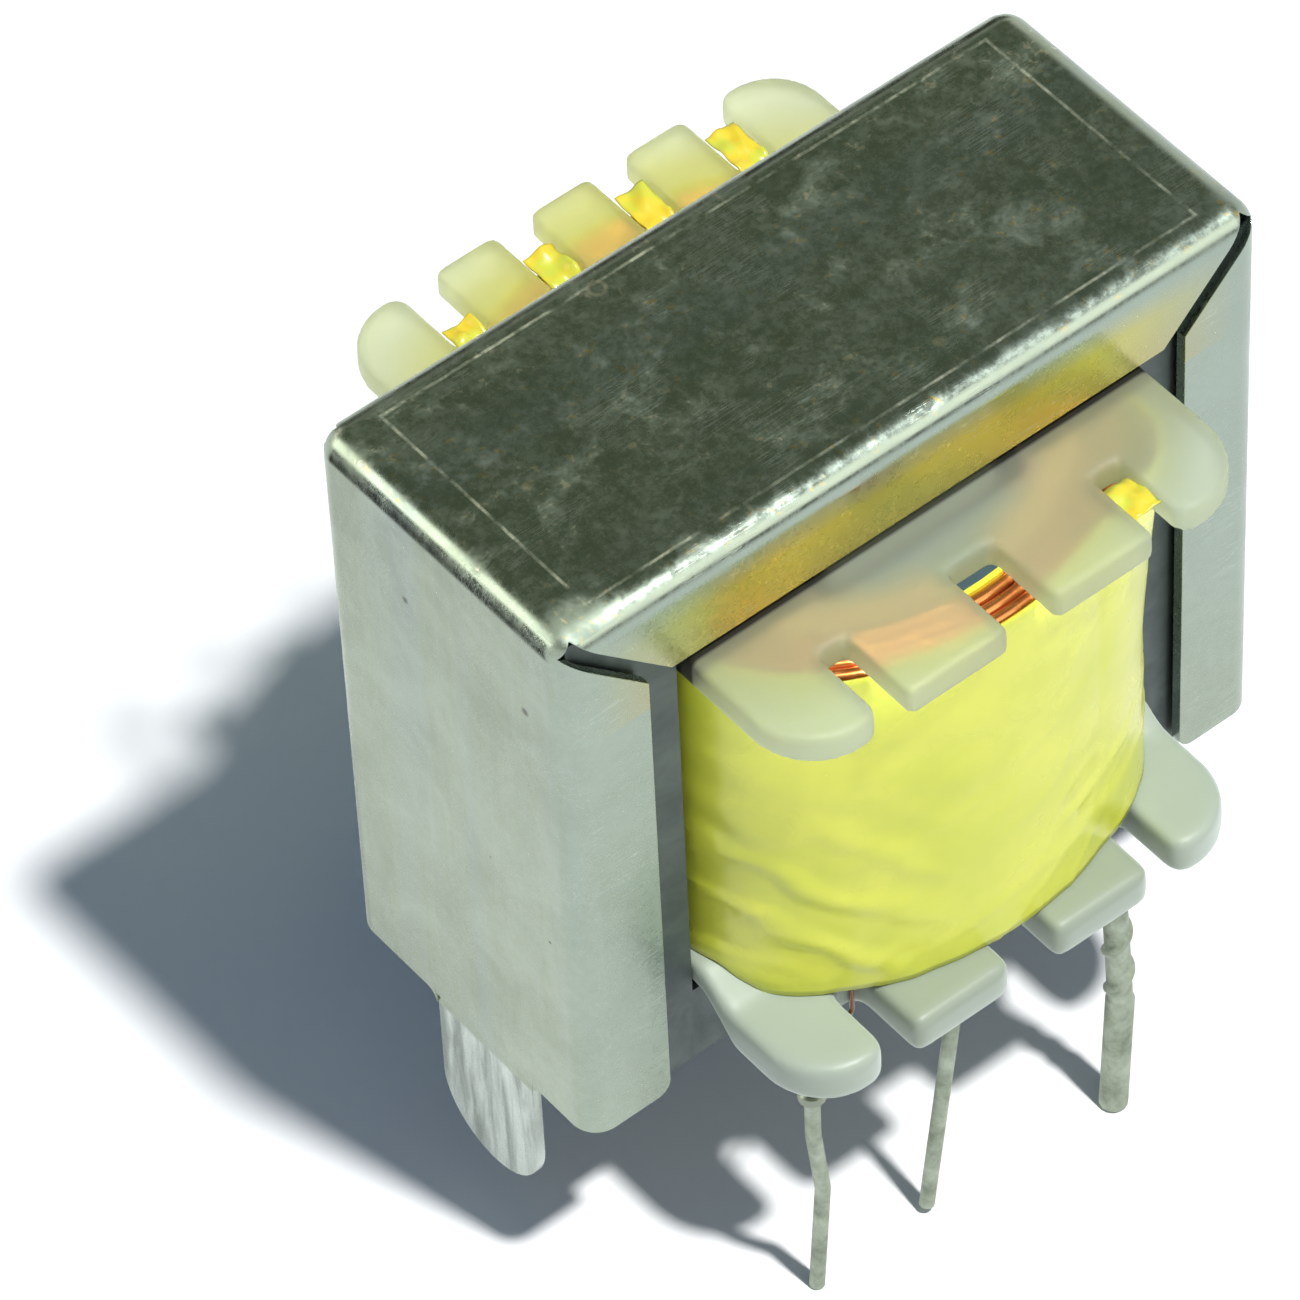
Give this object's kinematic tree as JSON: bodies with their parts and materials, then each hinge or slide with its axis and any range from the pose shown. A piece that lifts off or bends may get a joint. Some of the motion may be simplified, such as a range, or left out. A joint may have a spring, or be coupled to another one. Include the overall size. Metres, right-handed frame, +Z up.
{
  "type": "pcb transformer",
  "caption": "Small board-mounted transformer: laminated core in a folded tinplate frame, moulded bobbin with taped copper windings, wire pins and soldering lugs.",
  "frame": {"origin": "middle of the core's underside, in the plane that seats on the circuit board", "axes": "+Z up, away from the board; -Y towards the side with three pins; +X to the right seen from that side, along the core's width"},
  "size_m": [0.0202, 0.0166, 0.0233],
  "materials": {
    "tinplate": "satin",
    "core_steel": "satin",
    "nylon": "satin",
    "enamelled_copper": "gloss",
    "polyester_tape": "gloss",
    "tinned_wire": "satin",
    "solder": "satin"
  },
  "bodies": {
    "root": {"frame": "tinplate", "e_plate_01": "core_steel", "e_plate_02": "core_steel", "e_plate_03": "core_steel", "e_plate_04": "core_steel", "e_plate_05": "core_steel", "e_plate_06": "core_steel", "e_plate_07": "core_steel", "e_plate_08": "core_steel", "e_plate_09": "core_steel", "e_plate_10": "core_steel", "e_plate_11": "core_steel", "e_plate_12": "core_steel", "e_plate_13": "core_steel", "e_plate_14": "core_steel", "e_plate_15": "core_steel", "e_plate_16": "core_steel", "i_plate_01": "core_steel", "i_plate_02": "core_steel", "i_plate_03": "core_steel", "i_plate_04": "core_steel", "i_plate_05": "core_steel", "i_plate_06": "core_steel", "i_plate_07": "core_steel", "i_plate_08": "core_steel", "i_plate_09": "core_steel", "i_plate_10": "core_steel", "i_plate_11": "core_steel", "i_plate_12": "core_steel", "i_plate_13": "core_steel", "i_plate_14": "core_steel", "i_plate_15": "core_steel", "i_plate_16": "core_steel", "bobbin": "nylon", "primary_winding": "enamelled_copper", "secondary_winding": "enamelled_copper", "lead_front_left": "enamelled_copper", "lead_front_middle": "enamelled_copper", "lead_back_left": "enamelled_copper", "lead_back_right": "enamelled_copper", "layer_tape": "polyester_tape", "outer_tape": "polyester_tape", "pin_front_left": "tinned_wire", "pin_front_middle": "tinned_wire", "pin_front_right": "tinned_wire", "pin_back_left": "tinned_wire", "pin_back_right": "tinned_wire", "lead_front_right": "solder"}
  },
  "joints": []
}
